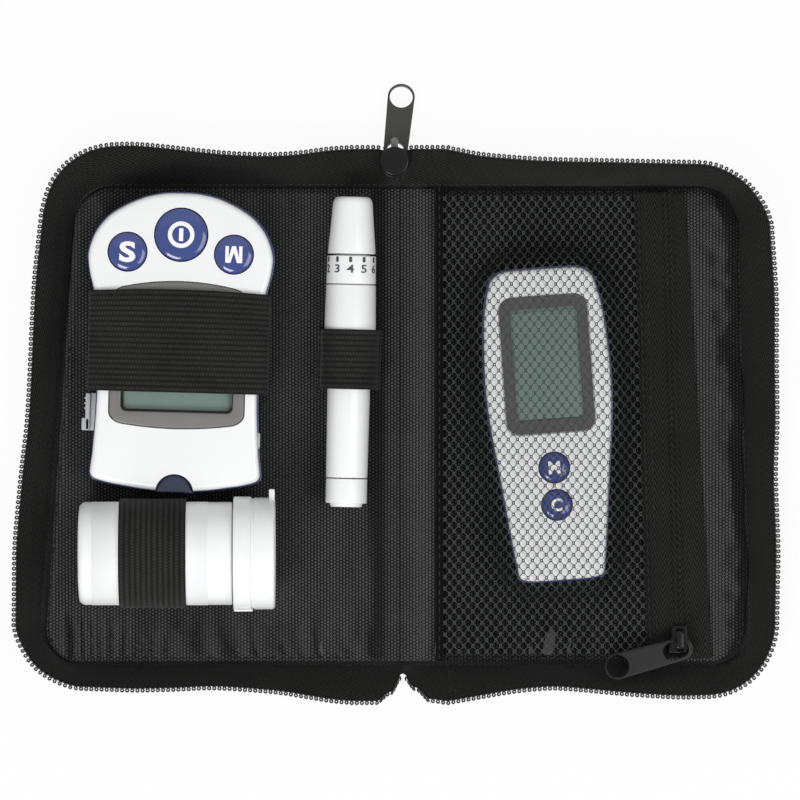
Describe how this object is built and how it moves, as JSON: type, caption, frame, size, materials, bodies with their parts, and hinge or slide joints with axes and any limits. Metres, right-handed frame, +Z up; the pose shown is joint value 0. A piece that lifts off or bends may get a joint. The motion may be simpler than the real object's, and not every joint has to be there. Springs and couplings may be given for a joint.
{
  "type": "glucose meter case",
  "caption": "Zip-round fabric organiser case lying open, with a blood glucose meter, strip vial and lancing pen in elastic straps and a second meter in a zipped net pocket.",
  "frame": {"origin": "centre of the spine's underside, on the surface that the open case lies on", "axes": "+X towards the half with the net pocket, +Y towards the head end where the main slider stops, +Z up out of the open case"},
  "size_m": [0.225, 0.1824, 0.0371],
  "materials": {
    "shell_fabric": "woven polyester, matte black",
    "foam": "closed-cell foam board",
    "lining_fabric": "soft woven nylon, dark grey-black",
    "zip_tape": "herringbone tape, black",
    "zip_nylon": "nylon coil, black",
    "elastic": "ribbed elastic, black",
    "net": "hexagonal knitted net, black",
    "black_metal": "black lacquered zinc, gloss",
    "white_plastic": "white moulded ABS",
    "navy_plastic": "navy moulded ABS",
    "navy_gloss": "navy gloss keytop",
    "bezel_grey": "warm grey painted frame",
    "pale_grey_plastic": "pale grey moulded",
    "clear_window": "clear acrylic lens",
    "display": "grey-green liquid crystal display",
    "circuit_board": "green solder mask",
    "pad_rubber": "silicone keypad",
    "steel": "bright steel",
    "test_strip": "laminated plastic strips"
  },
  "bodies": {
    "left_half": {"left_outer_fabric": "shell_fabric", "left_foam_board": "foam", "left_lining": "lining_fabric", "left_zip_tape": "zip_tape", "left_zip_coil": "zip_nylon", "meter_strap": "elastic", "vial_strap": "elastic", "pen_loop": "elastic", "meter_a_front_shell": "white_plastic", "meter_a_back_shell": "navy_plastic", "meter_a_screw_1": "steel", "meter_a_screw_2": "steel", "meter_a_battery_door": "navy_plastic", "meter_a_coin_cell": "steel", "meter_a_pcb": "circuit_board", "meter_a_button_pad": "pad_rubber", "meter_a_display": "display", "meter_a_window": "clear_window", "meter_a_bezel": "bezel_grey", "meter_a_strip_port": "navy_plastic", "pen_barrel": "white_plastic", "pen_cap": "white_plastic", "pen_drive_spring": "steel", "vial_body": "white_plastic", "vial_test_strips": "test_strip"},
    "spine": {"spine_outer_fabric": "shell_fabric", "spine_lining": "lining_fabric", "spine_head_gusset": "zip_tape", "spine_foot_gusset": "zip_tape", "main_slider": "black_metal"},
    "main_pull": {"main_pull": "black_metal"},
    "right_half": {"right_outer_fabric": "shell_fabric", "right_foam_board": "foam", "right_lining": "lining_fabric", "right_zip_tape": "zip_tape", "right_zip_coil": "zip_nylon", "mesh_panel": "net", "pocket_tape_inner": "zip_tape", "pocket_tape_outer": "zip_tape", "pocket_coil": "zip_nylon", "meter_b_front_shell": "white_plastic", "meter_b_back_shell": "navy_plastic", "meter_b_coin_cell": "steel", "meter_b_pcb": "circuit_board", "meter_b_display": "display", "meter_b_window": "clear_window"},
    "pocket_slider": {"pocket_slider": "black_metal"},
    "pocket_pull": {"pocket_pull": "black_metal"},
    "meter_a_power_button": {"meter_a_power_button": "navy_gloss"},
    "meter_a_set_button": {"meter_a_set_button": "navy_gloss"},
    "meter_a_memory_button": {"meter_a_memory_button": "navy_gloss"},
    "meter_b_upper_button": {"meter_b_upper_button": "navy_gloss"},
    "meter_b_lower_button": {"meter_b_lower_button": "navy_gloss"},
    "meter_a_eject_slide": {"meter_a_eject_slide": "pale_grey_plastic"},
    "vial_cap": {"vial_cap": "white_plastic"},
    "pen_depth_dial": {"pen_depth_dial": "white_plastic"},
    "pen_cocking": {"pen_cocking_sleeve": "white_plastic", "pen_lancet_carrier": "pale_grey_plastic", "pen_lancet": "steel"},
    "pen_release_button": {"pen_release_button": "pale_grey_plastic"}
  },
  "joints": [
    {"name": "spine_fold", "type": "hinge", "parent": "left_half", "child": "spine", "pos_m": [-0.0062, 0, 0.0008], "axis": [0, -1, 0], "range_deg": [0, 40], "deforming": ["spine_head_gusset", "spine_foot_gusset"]},
    {"name": "right_fold", "type": "hinge", "parent": "spine", "child": "right_half", "pos_m": [0.0062, 0, 0.0008], "axis": [0, -1, 0], "range_deg": [0, 40], "deforming": ["spine_head_gusset", "spine_foot_gusset"]},
    {"name": "main_pull_swivel", "type": "hinge", "parent": "spine", "child": "main_pull", "pos_m": [-0.0016, 0.07805, 0.0069], "axis": [0, 0, 1], "range_deg": [-45, 45]},
    {"name": "pocket_slider_run", "type": "slide", "parent": "right_half", "child": "pocket_slider", "axis": [-0.027, 0.9996, 0], "range_m": [0, 0.11]},
    {"name": "pocket_pull_swivel", "type": "hinge", "parent": "pocket_slider", "child": "pocket_pull", "pos_m": [0.08249, -0.06605, 0.0082], "axis": [0, 0, 1], "range_deg": [0, 92]},
    {"name": "meter_a_power_press", "type": "slide", "parent": "left_half", "child": "meter_a_power_button", "axis": [0, 0, -1], "range_m": [0, 0.0008], "stiffness_N_per_m": 1500},
    {"name": "meter_a_set_press", "type": "slide", "parent": "left_half", "child": "meter_a_set_button", "axis": [0, 0, -1], "range_m": [0, 0.0008], "stiffness_N_per_m": 1500},
    {"name": "meter_a_memory_press", "type": "slide", "parent": "left_half", "child": "meter_a_memory_button", "axis": [0, 0, -1], "range_m": [0, 0.0008], "stiffness_N_per_m": 1500},
    {"name": "meter_b_upper_press", "type": "slide", "parent": "right_half", "child": "meter_b_upper_button", "axis": [0, 0, -1], "range_m": [0, 0.0008], "stiffness_N_per_m": 1500},
    {"name": "meter_b_lower_press", "type": "slide", "parent": "right_half", "child": "meter_b_lower_button", "axis": [0, 0, -1], "range_m": [0, 0.0008], "stiffness_N_per_m": 1500},
    {"name": "meter_a_eject", "type": "slide", "parent": "left_half", "child": "meter_a_eject_slide", "axis": [-0.0279, -0.9996, 0], "range_m": [0, 0.006]},
    {"name": "vial_cap_flip", "type": "hinge", "parent": "left_half", "child": "vial_cap", "pos_m": [-0.0491, -0.05435, 0.0204], "axis": [0, 0, -1], "range_deg": [0, 90]},
    {"name": "pen_dial_turn", "type": "hinge", "parent": "left_half", "child": "pen_depth_dial", "pos_m": [-0.01485, 0.0215, 0.0113], "axis": [0.0227, 0.9997, 0], "range_deg": [-33, 99]},
    {"name": "pen_cocking", "type": "slide", "parent": "left_half", "child": "pen_cocking", "axis": [-0.0227, -0.9997, 0], "range_m": [0, 0.008], "stiffness_N_per_m": 300, "deforming": ["pen_drive_spring"]},
    {"name": "pen_release", "type": "slide", "parent": "left_half", "child": "pen_release_button", "axis": [0, 0, 1], "range_m": [0, 0.001], "stiffness_N_per_m": 1500}
  ],
  "couplings": [
    {"joint": "pocket_pull_swivel", "follows": "pocket_slider_run", "rad_per_m": 14.5}
  ]
}
